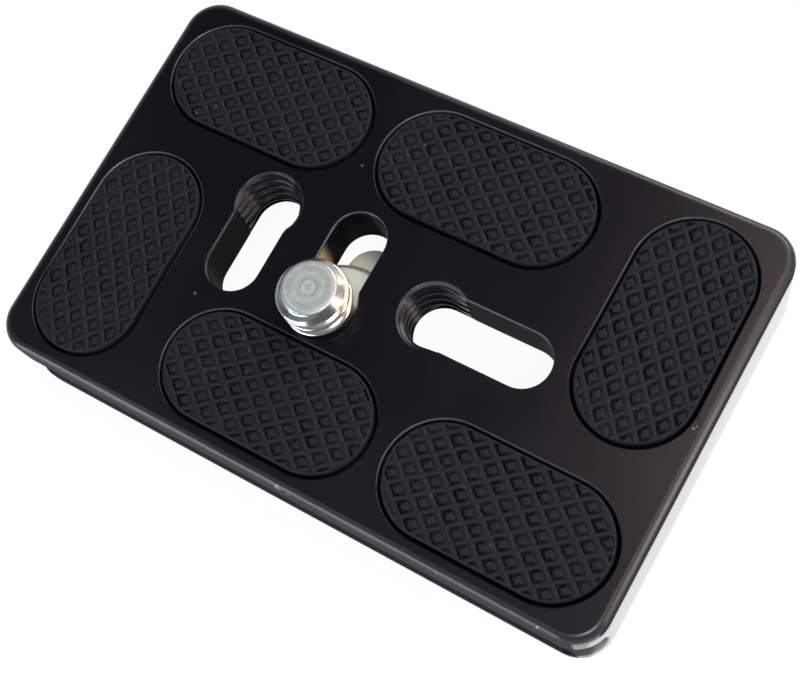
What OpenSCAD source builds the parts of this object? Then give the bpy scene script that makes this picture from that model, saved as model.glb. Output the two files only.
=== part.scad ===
// Quick release plate for a tripod ball head, with its captive camera screw.
// The plate lies flat: X runs along the dovetail, Z points up towards the camera,
// and the origin is on the bottom face, under the middle of the plate.

/* [Plate] */
// Length of the plate along the dovetail
plate_l = 60.4; // [58:0.2:80]
// Width over the dovetail
plate_w = 38; // [37.6:0.2:46]
// Thickness of the plate
plate_t = 10; // [9.4:0.1:13]
// Radius of the four upright corners
corner_r = 3.2; // [1.5:0.1:5]
// Radius that rounds the top edge
top_round = 0.6; // [0.2:0.1:1]
// Radius that rounds the bottom edge
bottom_round = 0.4; // [0.2:0.1:0.8]

/* [Dovetail] */
// Height of the upright edge under the groove
foot_edge = 1.8; // [1.2:0.1:2.4]
// Depth of the side grooves, whose lower face slopes at 45 degrees
groove_d = 2.6; // [1.5:0.1:2.8]
// Rise of the groove's upper face from the neck to the edge
groove_rise = 1.2; // [0.4:0.1:1.6]
// Height of the upright edge over the groove
flange_t = 3.6; // [2.6:0.1:4]

/* [Pocket under the plate] */
// Thickness of the web that is left over the pocket
web_t = 5; // [4.4:0.1:5.4]
// Space between the handle's tip and the pocket's long wall at the end of the screw's travel
pocket_gap = 0.7; // [0.3:0.1:1.4]
// Wall between the pocket and each end
end_wall = 8.2; // [5:0.1:10]
// Radius of the pocket's corners
pocket_corner = 2; // [0.5:0.1:6]

/* [Rubber pads] */
// Width of a pad
pad_w = 10.55; // [8:0.05:11]
// Space from a pad to the edge of the plate
pad_margin = 1.55; // [1.2:0.05:1.8]
// Space between two pads in one row
pad_gap = 1.6; // [0.8:0.1:3.5]
// Space between a row of pads and the pad across the plate's end
end_gap = 3.75; // [2.5:0.05:8]
// Depth of the recess that a pad is glued in
pad_recess = 1; // [0.6:0.1:1.6]
// Height of a pad over the metal
pad_proud = 0.3; // [0.1:0.05:0.8]
// Gap round a pad in its recess
pad_clear = 0.15; // [0.05:0.05:0.25]

/* [Tread of the pads] */
// Distance between treads along a pad
tread_pitch_l = 2.42; // [2:0.02:4]
// Distance between treads across a pad
tread_pitch_w = 1.96; // [1.6:0.02:3]
// Width of the ridges between the treads
ridge_w = 0.5; // [0.3:0.05:0.8]
// Depth of the treads
tread_depth = 0.35; // [0.1:0.05:0.5]
// Plain rim round the treads
pad_rim = 0.35; // [0.2:0.05:1]

/* [Slots] */
// Width of the slots
slot_w = 5.25; // [5.05:0.05:5.6]
// Space between the pads and the ends of the two slots across the plate
slot_row_gap = 0.9; // [0.6:0.1:1.8]
// Space between the left pad and the left slot
left_slot_gap = 2.6; // [1:0.1:3]
// Place of the screw's slot along the plate
screw_slot_x = -3.8; // [-4.2:0.05:-3.4]
// Where the slot along the plate starts
long_slot_x = 2.5; // [2.2:0.05:4]
// Space between the right pad and the end of the slot along the plate
long_slot_gap = 1.3; // [0.8:0.1:5]
// Diameter of the thread of the screw and of the round end of each slot
thread_d = 6.35; // [6.2:0.05:6.5]
// Bevel on the slots' edges
slot_break = 0.3; // [0.1:0.05:0.4]

/* [Camera screw] */
// Height of the screw over the metal
screw_rise = 4; // [3:0.1:6]
// Gap between the slot's flanks and the undercut neck that slides in it
neck_gap = 0.225; // [0.1:0.025:0.4]
// Gap between the thread and the metal under it
thread_gap = 0.15; // [0.1:0.05:0.5]
// Bevel on the screw's end
tip_break = 0.5; // [0.2:0.1:1]
// Diameter of the screw's head
head_d = 12; // [11:0.1:12.8]
// Thickness of the head
head_t = 1.2; // [1:0.1:1.4]
// Bevel round the head
head_break = 0.25; // [0.1:0.05:0.4]
// Gap between the neck and the slot's end at both ends of its travel
travel_gap = 0.3; // [0.2:0.05:0.6]

/* [Washer] */
// Distance from the head's rim to the washer's rim
washer_inset = 0.5; // [0:0.1:1.5]
// Thickness of the washer
washer_t = 0.4; // [0.3:0.05:0.5]
// Gap between the washer and the neck
washer_clear = 0.05; // [0.02:0.01:0.1]
// Gap over and under the washer
stack_gap = 0.05; // [0.02:0.01:0.1]

/* [Folding handle] */
// Width of the handle
handle_w = 5.2; // [4.6:0.1:6]
// Thickness of the handle
handle_t = 1.6; // [1.2:0.1:1.9]
// Distance from the screw's axis to the handle's tip
handle_reach = 8.7; // [7.5:0.1:9]
// Wall of the handle's eye round its pin
eye_wall = 0.45; // [0.4:0.05:0.55]
// Gap between the handle's eye and the head
fold_gap = 0.2; // [0.1:0.05:0.3]
// Diameter of the hinge pin
pin_d = 1.2; // [1:0.1:1.3]
// Gap round the pin in the handle's eye
pin_clear = 0.05; // [0.02:0.01:0.1]
// Gap round the pin in the head's ears
pin_seat = 0.01; // [0.005:0.005:0.02]
// Thickness of each ear
ear_t = 1.4; // [1:0.1:1.6]
// How far each ear reaches past the handle's eye
ear_over = 0.2; // [0:0.05:0.3]
// Gap between the handle and each ear
ear_clear = 0.1; // [0.05:0.05:0.2]

/* [Hidden] */
$fn = 64;

// Cutters reach this far past the faces that they cut
past = 1;
// Straight steps that make up a rounded edge
round_steps = 3;

// Diameters that fit in or round each other
neck_d = slot_w - 2 * neck_gap;
washer_d = head_d - 2 * washer_inset;
eye_d = pin_d + 2 * (pin_clear + eye_wall);
ear_w = eye_d + 2 * ear_over;

// Heights, from the table up
web_z = plate_t - web_t;
washer_z = web_z - stack_gap - washer_t;
head_top = washer_z - stack_gap;
head_z = head_top - head_t;
pin_z = head_z - fold_gap - eye_d / 2;
thread_z = plate_t + thread_gap;
screw_top = plate_t + screw_rise;
pad_z = plate_t - pad_recess;
pad_t = pad_recess + pad_proud;

// Places of the pads: one row along each long edge, and one pad across each end
pad_l = (plate_l - 2 * pad_margin - pad_w - end_gap - pad_gap) / 2;
row_x = plate_l / 2 - pad_margin - pad_l / 2;
row_y = plate_w / 2 - pad_margin - pad_w / 2;
inner_x = pad_l + pad_gap - row_x;
across_x = plate_l / 2 - pad_margin - pad_w / 2;
across_y = plate_w / 2 - pad_margin - pad_l / 2;

// Sizes and places of the slots, between the pads
free_x = plate_l / 2 - pad_margin - pad_w;
free_y = plate_w / 2 - pad_margin - pad_w;
slot_l = 2 * (free_y - slot_row_gap);
left_slot_x = left_slot_gap + slot_w / 2 - free_x;
long_slot_l = free_x - long_slot_gap - long_slot_x;
tap_r = thread_d / 2;
left_tap = [left_slot_x, slot_l / 2 - tap_r];
screw_tap = [screw_slot_x, tap_r - slot_l / 2];
long_tap = [long_slot_x + tap_r, 0];
screw_y = neck_d / 2 + travel_gap - slot_l / 2;
pocket_w = 2 * (handle_reach + pocket_gap - screw_y);

// Half of the pad's straight flank, for the distance test on each tread
pad_flank = (pad_l - pad_w) / 2;
tread_l = tread_pitch_l - ridge_w * sqrt(pow(tread_pitch_l / tread_pitch_w, 2) + 1);
tread_w = tread_l * tread_pitch_w / tread_pitch_l;
treads_l = ceil(pad_l / tread_pitch_l);
treads_w = ceil(pad_w / tread_pitch_w);

black = [0.13, 0.13, 0.14];
charcoal = [0.2, 0.2, 0.23];
steel = [0.78, 0.79, 0.77];
nylon = [0.85, 0.83, 0.78];

// Outline with round corners, centred
module rounded_plan(l, w, r) {
    square([l - 2 * r, w], center = true);
    square([l, w - 2 * r], center = true);
    for (x = [-1, 1], y = [-1, 1])
        translate([x * (l / 2 - r), y * (w / 2 - r)])
            circle(r);
}

// Outline with two round ends, centred, long along X
module stadium(l, w) {
    square([l - w, w], center = true);
    for (x = [-1, 1])
        translate([x * (l - w) / 2, 0])
            circle(d = w);
}

// Section of what a rounded edge takes off: u runs inwards, v runs into the plate
function edge_points(r) = concat(
    [[-past, -past], [r, -past]],
    [for (i = [0:round_steps]) [r - r * sin(90 * i / round_steps), r - r * cos(90 * i / round_steps)]],
    [[-past, r]]);

// Section of the plate across its length, with the dovetail grooves
module dovetail_section() {
    edge = plate_w / 2;
    neck = edge - groove_d;
    groove_low = foot_edge + groove_d;
    groove_high = plate_t - flange_t - groove_rise;
    right = [[edge, 0], [edge, foot_edge], [neck, groove_low],
             [neck, groove_high], [edge, plate_t - flange_t], [edge, plate_t]];
    left = [for (i = [len(right) - 1:-1:0]) [-right[i][0], right[i][1]]];
    polygon(concat(right, left));
}

// What rounds one long rim of the plate, cut along the edges and round the corners
module rim_cutter(r) {
    section = edge_points(r);
    for (side = [0, 180])
        rotate([0, 0, side]) {
            translate([0, plate_w / 2, 0])
                rotate([90, 0, 90])
                    linear_extrude(plate_l - 2 * corner_r, center = true)
                        polygon([for (p = section) [-p[0], -p[1]]]);
            translate([plate_l / 2, 0, 0])
                rotate([90, 0, 0])
                    linear_extrude(plate_w - 2 * corner_r, center = true)
                        polygon([for (p = section) [-p[0], -p[1]]]);
        }
    for (x = [0, 1], y = [0, 1])
        mirror([x, 0, 0])
            mirror([0, y, 0])
                translate([plate_l / 2 - corner_r, plate_w / 2 - corner_r, 0])
                    rotate_extrude(angle = 90)
                        polygon([for (p = section) [corner_r - p[0], -p[1]]]);
}

// A slot through the web with bevelled edges on top, long along X
module slot_cutter(l) {
    translate([0, 0, web_z - past])
        linear_extrude(web_t + 2 * past)
            stadium(l, slot_w);
    for (x = [-1, 1])
        translate([x * (l - slot_w) / 2, 0, plate_t - slot_break])
            cylinder(h = 2 * slot_break, d1 = slot_w, d2 = slot_w + 4 * slot_break);
    bevel = slot_w / 2;
    translate([0, 0, plate_t - slot_break])
        rotate([90, 0, 90])
            linear_extrude(l - slot_w, center = true)
                polygon([[-bevel, 0], [bevel, 0],
                         [bevel + 2 * slot_break, 2 * slot_break],
                         [-bevel - 2 * slot_break, 2 * slot_break]]);
}

// The threaded round end of a slot, bevelled like the slot
module tap_cutter(place) {
    translate([place[0], place[1], web_z - past])
        cylinder(h = web_t + 2 * past, d = thread_d);
    translate([place[0], place[1], plate_t - slot_break])
        cylinder(h = 2 * slot_break, d1 = thread_d, d2 = thread_d + 4 * slot_break);
}

// Puts a pad, or its recess, at each place in turn
module at_pad(place) {
    translate([place[0], place[1], pad_z])
        rotate([0, 0, place[2]])
            children();
}

pad_places = [[-row_x, row_y, 0], [inner_x, row_y, 0], [across_x, across_y, 90],
              [row_x, -row_y, 0], [-inner_x, -row_y, 0], [-across_x, -across_y, 90]];

module plate_body() {
    color(black)
        difference() {
            intersection() {
                rotate([90, 0, 90])
                    linear_extrude(plate_l, center = true)
                        dovetail_section();
                linear_extrude(plate_t)
                    rounded_plan(plate_l, plate_w, corner_r);
            }
            translate([0, 0, plate_t])
                rim_cutter(top_round);
            mirror([0, 0, 1])
                rim_cutter(bottom_round);
            translate([0, 0, -past])
                linear_extrude(web_z + past)
                    rounded_plan(plate_l - 2 * end_wall, pocket_w, pocket_corner);
            for (place = pad_places)
                at_pad(place)
                    linear_extrude(pad_recess + past)
                        stadium(pad_l + 2 * pad_clear, pad_w + 2 * pad_clear);
            translate([left_slot_x, 0, 0])
                rotate([0, 0, 90])
                    slot_cutter(slot_l);
            translate([screw_slot_x, 0, 0])
                rotate([0, 0, 90])
                    slot_cutter(slot_l);
            translate([long_slot_x + long_slot_l / 2, 0, 0])
                slot_cutter(long_slot_l);
            tap_cutter(left_tap);
            tap_cutter(screw_tap);
            tap_cutter(long_tap);
        }
}

// Distance of a point from the pad's middle line
function off_line(x, y) = norm([max(abs(x) - pad_flank, 0), y]);

// True where a whole tread at this place stays inside the pad's rim
function tread_fits(x, y) =
    let (reach = pad_w / 2 - pad_rim)
    off_line(abs(x) + tread_l / 2, y) < reach && off_line(x, abs(y) + tread_w / 2) < reach;

// One moulded pad: a slab with round ends and a lattice of ridges round sunk diamonds
module pad() {
    diamond = [[-tread_l / 2, 0], [0, -tread_w / 2], [tread_l / 2, 0], [0, tread_w / 2]];
    color(charcoal)
        difference() {
            linear_extrude(pad_t)
                stadium(pad_l, pad_w);
            translate([0, 0, pad_t - tread_depth])
                linear_extrude(tread_depth + past)
                    for (row = [-2 * treads_w:2 * treads_w], col = [-treads_l:treads_l]) {
                        x = (col + (row % 2 == 0 ? 0 : 0.5)) * tread_pitch_l;
                        y = row * tread_pitch_w / 2;
                        if (tread_fits(x, y))
                            translate([x, y])
                                polygon(diamond);
                    }
        }
}

module pad_back_left() { at_pad(pad_places[0]) pad(); }
module pad_back_middle() { at_pad(pad_places[1]) pad(); }
module pad_right() { at_pad(pad_places[2]) pad(); }
module pad_front_right() { at_pad(pad_places[3]) pad(); }
module pad_front_middle() { at_pad(pad_places[4]) pad(); }
module pad_left() { at_pad(pad_places[5]) pad(); }

// Half section of the screw from its head to its tip, turned about the axis
module screw_section() {
    head_r = head_d / 2;
    thread_r = thread_d / 2;
    neck_r = neck_d / 2;
    polygon([[0, head_z],
             [head_r - head_break, head_z], [head_r, head_z + head_break],
             [head_r, head_top - head_break], [head_r - head_break, head_top],
             [neck_r, head_top], [neck_r, thread_z],
             [thread_r, thread_z], [thread_r, screw_top - tip_break],
             [thread_r - tip_break, screw_top], [0, screw_top]]);
}

// One ear under the head, its lower end round about the hinge pin
module ear() {
    linear_extrude(ear_t) {
        circle(d = ear_w);
        translate([-ear_w / 2, 0])
            square([ear_w, head_z - pin_z]);
    }
}

module camera_screw() {
    color(steel)
        translate([screw_slot_x, screw_y, 0])
            difference() {
                union() {
                    rotate_extrude()
                        screw_section();
                    for (side = [0, 180])
                        rotate([0, 0, side])
                            translate([handle_w / 2 + ear_clear, 0, pin_z])
                                rotate([90, 0, 90])
                                    ear();
                }
                translate([0, 0, pin_z])
                    rotate([0, 90, 0])
                        cylinder(h = head_d, d = pin_d + 2 * pin_seat, center = true);
            }
}

module friction_washer() {
    color(nylon)
        translate([screw_slot_x, screw_y, washer_z])
            difference() {
                cylinder(h = washer_t, d = washer_d);
                translate([0, 0, -past])
                    cylinder(h = washer_t + 2 * past, d = neck_d + 2 * washer_clear);
            }
}

// Flat key with a round end, hinged under the head and folded up into the pocket
module screw_handle() {
    blade = handle_reach - handle_w / 2;
    color(steel)
        translate([screw_slot_x, screw_y, pin_z])
            difference() {
                union() {
                    translate([0, 0, -handle_t / 2])
                        linear_extrude(handle_t) {
                            translate([-handle_w / 2, 0])
                                square([handle_w, blade]);
                            translate([0, blade])
                                circle(d = handle_w);
                        }
                    rotate([0, 90, 0])
                        cylinder(h = handle_w, d = eye_d, center = true);
                }
                rotate([0, 90, 0])
                    cylinder(h = handle_w + 2 * past, d = pin_d + 2 * pin_clear, center = true);
            }
}

module handle_pin() {
    color(steel)
        translate([screw_slot_x, screw_y, pin_z])
            rotate([0, 90, 0])
                cylinder(h = handle_w + 2 * (ear_clear + ear_t), d = pin_d, center = true);
}

plate_body();
pad_back_left();
pad_back_middle();
pad_right();
pad_front_right();
pad_front_middle();
pad_left();
camera_screw();
friction_washer();
screw_handle();
handle_pin();
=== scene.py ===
# %% [markdown]
# # A quick release plate for a tripod ball head
# This script dresses a finished CAD model of the plate: a black dovetail plate with six rubber pads, three
# slots, and a captive camera screw with a fold-flat handle. The CAD model is loaded first and stays as it
# is. Each visible piece is then built as a finer mesh in the same place, and rides on the CAD body it
# belongs to, so that the motions carry over.

import math

import bpy
import numpy as np
from mathutils import Matrix, Vector
from mathutils.geometry import delaunay_2d_cdt


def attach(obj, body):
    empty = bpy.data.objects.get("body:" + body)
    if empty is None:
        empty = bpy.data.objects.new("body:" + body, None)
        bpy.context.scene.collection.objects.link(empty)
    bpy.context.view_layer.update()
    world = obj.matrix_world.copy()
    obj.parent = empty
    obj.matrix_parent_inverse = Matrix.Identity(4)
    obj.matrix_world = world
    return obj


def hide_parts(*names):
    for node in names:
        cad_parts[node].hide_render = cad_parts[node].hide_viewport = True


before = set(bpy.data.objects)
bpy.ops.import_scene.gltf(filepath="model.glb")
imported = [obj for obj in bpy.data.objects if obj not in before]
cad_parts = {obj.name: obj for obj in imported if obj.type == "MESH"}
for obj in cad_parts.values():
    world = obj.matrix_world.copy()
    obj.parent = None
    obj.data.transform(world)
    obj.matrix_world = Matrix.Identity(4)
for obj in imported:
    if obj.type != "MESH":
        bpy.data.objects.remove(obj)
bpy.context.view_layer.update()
MM = 0.001

# %% [markdown]
# ## The view and the light settings
# The photograph was taken by hand from above the right front corner. Its camera was found by matching the
# plate's corners, pads and slot floors: the focal length is in pixels of an 800 pixel wide picture, and the
# three rows are the camera's right, down and forward directions. Blender's camera looks along its own -Z
# with +Y up, so two of the rows are turned round.

# %% Camera
PICTURE_W, PICTURE_H = 800, 696
focal_px, centre_px = 1363.05, (360.0, 405.0)
cam_right = Vector((0.84424, 0.49170, -0.21326))
cam_up = Vector((-0.42739, 0.85773, 0.28571))
cam_forward = Vector((-0.32340, 0.15006, -0.93429))
cam_place = Vector((40.698, -26.594, 116.222)) * MM

camera_data = bpy.data.cameras.new("camera")
camera_data.sensor_width = 36
camera_data.lens = focal_px * camera_data.sensor_width / PICTURE_W
camera_data.shift_x = (PICTURE_W / 2 - centre_px[0]) / PICTURE_W
camera_data.shift_y = (centre_px[1] - PICTURE_H / 2) / PICTURE_W
camera_data.clip_start = 0.01
camera_data.clip_end = 20
camera = bpy.data.objects.new("camera", camera_data)
turn = Matrix((cam_right, cam_up, -cam_forward)).transposed().to_4x4()
camera.matrix_world = Matrix.Translation(cam_place) @ turn
scene = bpy.context.scene
scene.collection.objects.link(camera)
scene.camera = camera
scene.view_settings.view_transform = "Standard"
print("lens mm:", round(camera_data.lens, 2), "shift:", camera_data.shift_x, camera_data.shift_y)

# %% [markdown]
# ## Node trees written as sums
# Materials and Geometry Nodes are both made of nodes joined by links. Written out by hand that hides the
# idea, so a small class wraps one output socket and lets Python's own operators add the Math nodes. Every
# other node comes from one method, which takes the node's type, its settings and its sockets.

# %% A socket that can be added and multiplied
class Wire:
    def __init__(self, tree, socket=None):
        self.tree, self.socket = tree, socket

    def node(self, kind, settings, sockets, out=0):
        made = self.tree.nodes.new(kind)
        for name, value in settings.items():
            setattr(made, name, value)
        for key, value in sockets.items():
            if isinstance(value, Wire):
                self.tree.links.new(value.socket, made.inputs[key])
            else:
                made.inputs[key].default_value = value
        return Wire(self.tree, made.outputs[out]) if made.outputs else None

    def math(self, operation, *values):
        return self.node("ShaderNodeMath", {"operation": operation}, dict(enumerate(values)))

    def __add__(self, other):
        return self.math("ADD", self, other)

    def __radd__(self, other):
        return self.math("ADD", other, self)

    def __sub__(self, other):
        return self.math("SUBTRACT", self, other)

    def __rsub__(self, other):
        return self.math("SUBTRACT", other, self)

    def __mul__(self, other):
        return self.math("MULTIPLY", self, other)

    def __rmul__(self, other):
        return self.math("MULTIPLY", other, self)

    def __truediv__(self, other):
        return self.math("DIVIDE", self, other)

    def smooth(self, low, high, to_low=0.0, to_high=1.0):
        """Rises softly from to_low to to_high while this value goes from low to high."""
        sockets = {0: self, 1: low, 2: high, 3: to_low, 4: to_high}
        return self.node("ShaderNodeMapRange", {"interpolation_type": "SMOOTHSTEP"}, sockets)

    def split(self):
        """The X, Y and Z parts of a vector."""
        made = self.tree.nodes.new("ShaderNodeSeparateXYZ")
        self.tree.links.new(self.socket, made.inputs[0])
        return [Wire(self.tree, part) for part in made.outputs]


def mix_colours(wire, factor, first, second):
    sockets = {0: factor, 6: first, 7: second}
    return wire.node("ShaderNodeMix", {"data_type": "RGBA"}, sockets, out=2)


print("a Wire knows:", sorted(name for name in vars(Wire) if not name.startswith("__")))

# %% [markdown]
# ## Anodised metal
# The plate is black anodised aluminium: a very dark, slightly blue base under a hard clear skin, with a
# fine grain left by the blasting before the dye. A flat black would look like plastic, so the roughness
# wanders a little, the grain is a bump about 0.1 mm wide, and the rims are rubbed a shade lighter. A bluish
# painted highlight lies on the back edges of the pad recesses and the slots, which the mesh tells the
# material by an attribute. The milled walls of the slots and the long sides are duller than the top, the
# right end is glossier, and a golden painted reflection of the screw, glossier and more metallic, lies on a
# patch of wall in its slot. These are bands of the place in mm.
# A few nicks and specks show bare metal. They are given by their places on the plate and their radii, in mm.

# %% Anodised material
def material_start(name):
    made = bpy.data.materials.new(name)
    made.use_nodes = True
    made.node_tree.nodes.clear()
    start = Wire(made.node_tree)
    place = start.node("ShaderNodeTexCoord", {}, {}, out=3)
    return made, start, place


def material_end(start, sockets):
    shader = start.node("ShaderNodeBsdfPrincipled", {}, sockets)
    start.node("ShaderNodeOutputMaterial", {}, {"Surface": shader})


def noise(start, place, scale, detail=2.0, roughness=0.5):
    sockets = {"Vector": place, "Scale": scale, "Detail": detail, "Roughness": roughness}
    return start.node("ShaderNodeTexNoise", {}, sockets)


def bump_from(start, height, strength, depth_mm):
    sockets = {"Strength": strength, "Distance": depth_mm * MM, "Height": height}
    return start.node("ShaderNodeBump", {}, sockets)


def spot(start, place, at_mm, radius_mm, ragged):
    """1 inside a ragged spot round a point, 0 outside."""
    centre = tuple(v * MM for v in at_mm)
    apart = start.node("ShaderNodeVectorMath", {"operation": "DISTANCE"}, {0: place, 1: centre}, out=1)
    return (apart + ragged * (radius_mm * MM)).smooth(radius_mm * MM, radius_mm * 0.6 * MM)


def attribute(start, name):
    return start.node("ShaderNodeAttribute", {"attribute_name": name}, {}, out=2)


def most(first, second):
    return first.math("MAXIMUM", first, second)


def axes_mm(place):
    """The place on the object, in mm."""
    return [part / MM for part in place.split()]


def between(value, low, high, soft):
    """1 from low to high, and 0 further than soft outside them."""
    return value.smooth(low - soft, low) * value.smooth(high + soft, high)


NICKS = [((1.1, -18.9, 9.6), 0.42), ((2.1, -18.95, 9.4), 0.26), ((16.4, -18.9, 9.7), 0.18),
         ((29.0, 0.8, 10.0), 0.16), ((29.15, 1.05, 9.98), 0.12), ((-7.0, 9.6, 10.0), 0.17),
         ((-18.0, -4.4, 10.0), 0.15), ((-14.6, -7.3, 10.0), 0.2), ((10.8, 12.9, 10.0), 0.12),
         ((-29.6, 14.0, 9.8), 0.22), ((25.5, -18.8, 9.7), 0.2)]

SKIN, SKIN_LIGHTER = (0.0026, 0.0029, 0.0043, 1), (0.0038, 0.0041, 0.0056, 1)
# The second, bluish tone on the next line is a painted highlight for the back edges of the recesses and slots.
RIM_TONE, HIGHLIGHT_TONE = (0.020, 0.020, 0.023, 1), (0.105, 0.115, 0.14, 1)
# The second, golden tone on the next line is a painted reflection of the screw on its slot's wall.
BARE_TONE, SCREW_REFLECTION_TONE = (0.13, 0.125, 0.12, 1), (0.46, 0.31, 0.13, 1)

anodised, start, place = material_start("black_anodised")
rubbed, worn, tapped = attribute(start, "rubbed"), attribute(start, "worn"), attribute(start, "tapped")
cloud = noise(start, place, 90.0, 3.0)
grain = noise(start, place, 7000.0, 2.0, 0.6)
ragged = noise(start, place, 2600.0, 2.0) - 0.4
bare = spot(start, place, *NICKS[0], ragged)
for nick_at, nick_size in NICKS[1:]:
    bare = most(bare, spot(start, place, nick_at, nick_size, ragged))
x, y, z = axes_mm(place)
off_x, off_y = start.math("ABSOLUTE", x), start.math("ABSOLUTE", y)
long_side = between(off_y, 18.75, 19.2, 0.15) * between(z, -1.0, 9.3, 0.3) * between(off_x, -1.0, 28.6, 1.0)
end_line = between(x, 30.0, 30.5, 0.1) * between(z, 8.6, 9.4, 0.3)
slot_wall = between(z, 5.1, 9.7, 0.08) * between(off_y, -1.0, 9.0, 0.5) * between(off_x, -1.0, 17.5, 0.5)
# A golden painted reflection of the screw on the left wall of the middle slot, which is also made glossier and
# more metallic there.
reflection_band = between(x, -6.45, -6.2, 0.05) * between(y, -3.0, 1.1, 1.1)
reflection_band = reflection_band * z.smooth(5.6, 6.8) * z.smooth(9.8, 9.6)
painted_reflection = reflection_band * cloud.smooth(0.2, 0.5, 0.7, 1.0)
dull_wall = slot_wall * (0.9 - tapped * 0.6) * (1 - painted_reflection * 0.9)
dull = most(most(long_side * 0.85, end_line * 0.85), dull_wall)
ends = between(x, 29.6, 30.5, 0.5) * between(z, -1.0, 8.3, 0.4)
dark = mix_colours(start, cloud.smooth(0.35, 0.7), SKIN, SKIN_LIGHTER)
rim_tone = mix_colours(start, rubbed * cloud.smooth(0.25, 0.75, 0.35, 1.0), dark, RIM_TONE)
# A painted bluish highlight along the back edges of the recesses and slots, read from a mesh attribute.
worn_tone = mix_colours(start, worn * cloud.smooth(0.3, 0.6, 0.4, 1.0), rim_tone, HIGHLIGHT_TONE)
bare_tone = mix_colours(start, bare, worn_tone, BARE_TONE)
metal_tone = mix_colours(start, painted_reflection * 0.85, bare_tone, SCREW_REFLECTION_TONE)
sheen = 0.15 + cloud * 0.08 + grain * 0.05 + rubbed * 0.04
bump = bump_from(start, grain - bare * 1.5, 0.12, 0.02)
skin = start.node("ShaderNodeBsdfPrincipled", {}, {
    "Base Color": metal_tone, "Roughness": sheen, "Metallic": bare * 0.6 + painted_reflection * 0.4, "Normal": bump,
    "Specular IOR Level": 0.3, "Coat Weight": ends, "Coat Roughness": 0.06})
milled = start.node("ShaderNodeBsdfPrincipled", {}, {
    "Base Color": dark, "Roughness": 0.7, "Normal": bump, "Specular IOR Level": 0.0})
blend = start.node("ShaderNodeMixShader", {}, {0: dull, 1: skin, 2: milled})
start.node("ShaderNodeOutputMaterial", {}, {"Surface": blend})
print("anodised material nodes:", len(anodised.node_tree.nodes), "nicks:", len(NICKS))

# %% [markdown]
# ## Rubber
# The pads are moulded black rubber, which scatters more than the metal. The cells are painted darker than
# the raised ridges: this is painted shade, darkest where the grooves are deepest. The height of the tread is
# kept on the mesh as an attribute when the tread is made, and the material reads it here. Fine dust sits in
# a few places, and a fine bump breaks up the shine.

# %% Rubber material
rubber, start, place = material_start("pad_rubber")
tread = attribute(start, "tread")
mottle = noise(start, place, 900.0, 3.0)
dust = noise(start, place, 1500.0, 1.0).smooth(0.72, 0.8)
skin = noise(start, place, 12000.0, 2.0, 0.6)
# Painted shade: the grooves between the ridges are coloured darker the deeper they are.
groove_shade_tone = mix_colours(start, mottle, (0.0016, 0.0016, 0.0024, 1), (0.0024, 0.0024, 0.0034, 1))
ridge_tone = mix_colours(start, mottle, (0.0056, 0.0060, 0.0095, 1), (0.0080, 0.0083, 0.0122, 1))
shaded_rubber_tone = mix_colours(start, tread, groove_shade_tone, ridge_tone)
dusty_tone = mix_colours(start, dust * 0.12, shaded_rubber_tone, (0.16, 0.155, 0.15, 1))
bump = bump_from(start, skin, 0.25, 0.02)
material_end(start, {"Base Color": dusty_tone, "Roughness": 0.5 + mottle * 0.2, "Normal": bump,
                     "Specular IOR Level": 0.14})
print("rubber material nodes:", len(rubber.node_tree.nodes))

# %% [markdown]
# ## Bright steel
# The screw is turned on a lathe and plated. The tool leaves fine rings on the flat end. A ring pattern
# could be painted on, but here the material measures the distance from the screw's own axis and looks up a
# noise by that distance alone, which gives rings of uneven width. Adding a little wobble and grit to the
# distance breaks them up, as the plating does. The slow rings change the colour, and both kinds show as a
# faint bump. The thread's walls are darker, warmer and shinier. The screw stands at SCREW_AXIS, in mm.

# %% Turned steel material
SCREW_AXIS = (-3.8, -3.3)
STEEL_DARK, STEEL_LIGHT = (0.30, 0.36, 0.345, 1), (0.54, 0.61, 0.60, 1)
STEEL_STAIN, THREAD_TONE = (0.56, 0.53, 0.46, 1), (0.44, 0.385, 0.33, 1)


def axis_distance(start, place, axis_mm):
    to_axis = (-axis_mm[0] * MM, -axis_mm[1] * MM, 0)
    centred = start.node("ShaderNodeMapping", {}, {"Vector": place, "Location": to_axis})
    flat = start.node("ShaderNodeVectorMath", {"operation": "MULTIPLY"}, {0: centred, 1: (1, 1, 0)})
    return start.node("ShaderNodeVectorMath", {"operation": "LENGTH"}, {0: flat}, out=1)


turned, start, place = material_start("turned_steel")
radius = axis_distance(start, place, SCREW_AXIS)
wobble = noise(start, place, 700.0, 2.0)
grit = noise(start, place, 2600.0, 2.0)
out_from_axis = start.node("ShaderNodeCombineXYZ", {}, {0: radius + (wobble * 0.16 + grit * 0.10) * MM})
fine_rings = noise(start, out_from_axis, 9000.0, 1.0)
slow_rings = noise(start, out_from_axis, 2600.0, 2.0)
ring_tone = slow_rings.smooth(0.36, 0.64) * 0.72 + grit.smooth(0.35, 0.65) * 0.28
steel_tone = mix_colours(start, ring_tone, STEEL_DARK, STEEL_LIGHT)
stain = noise(start, place, 420.0, 2.0).smooth(0.5, 0.75)
steel_stained = mix_colours(start, stain * 0.2, steel_tone, STEEL_STAIN)
threaded = attribute(start, "thread_wall")
steel_here = mix_colours(start, threaded, steel_stained, THREAD_TONE)
bump = bump_from(start, fine_rings + slow_rings * 1.5, 0.25, 0.012)
material_end(start, {"Base Color": steel_here, "Metallic": 0.7 + threaded * 0.3,
                     "Roughness": 0.36 + wobble * 0.1 - threaded * 0.2, "Normal": bump})
print("turned steel nodes:", len(turned.node_tree.nodes), "axis at", SCREW_AXIS)

# %% [markdown]
# ## Stamped steel and nylon
# The handle is stamped from sheet and plated, so its streaks run along the sheet: a noise that is stretched
# by scaling the place differently on each axis. What shows of it through the slot carries a painted warm
# reflection on one side and a painted pale blue reflection on the other, with painted shade on its tip. These
# tints are blends along the two directions in mm. The washer is natural nylon, milky and slightly green,
# which needs only a soft haze.

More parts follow.
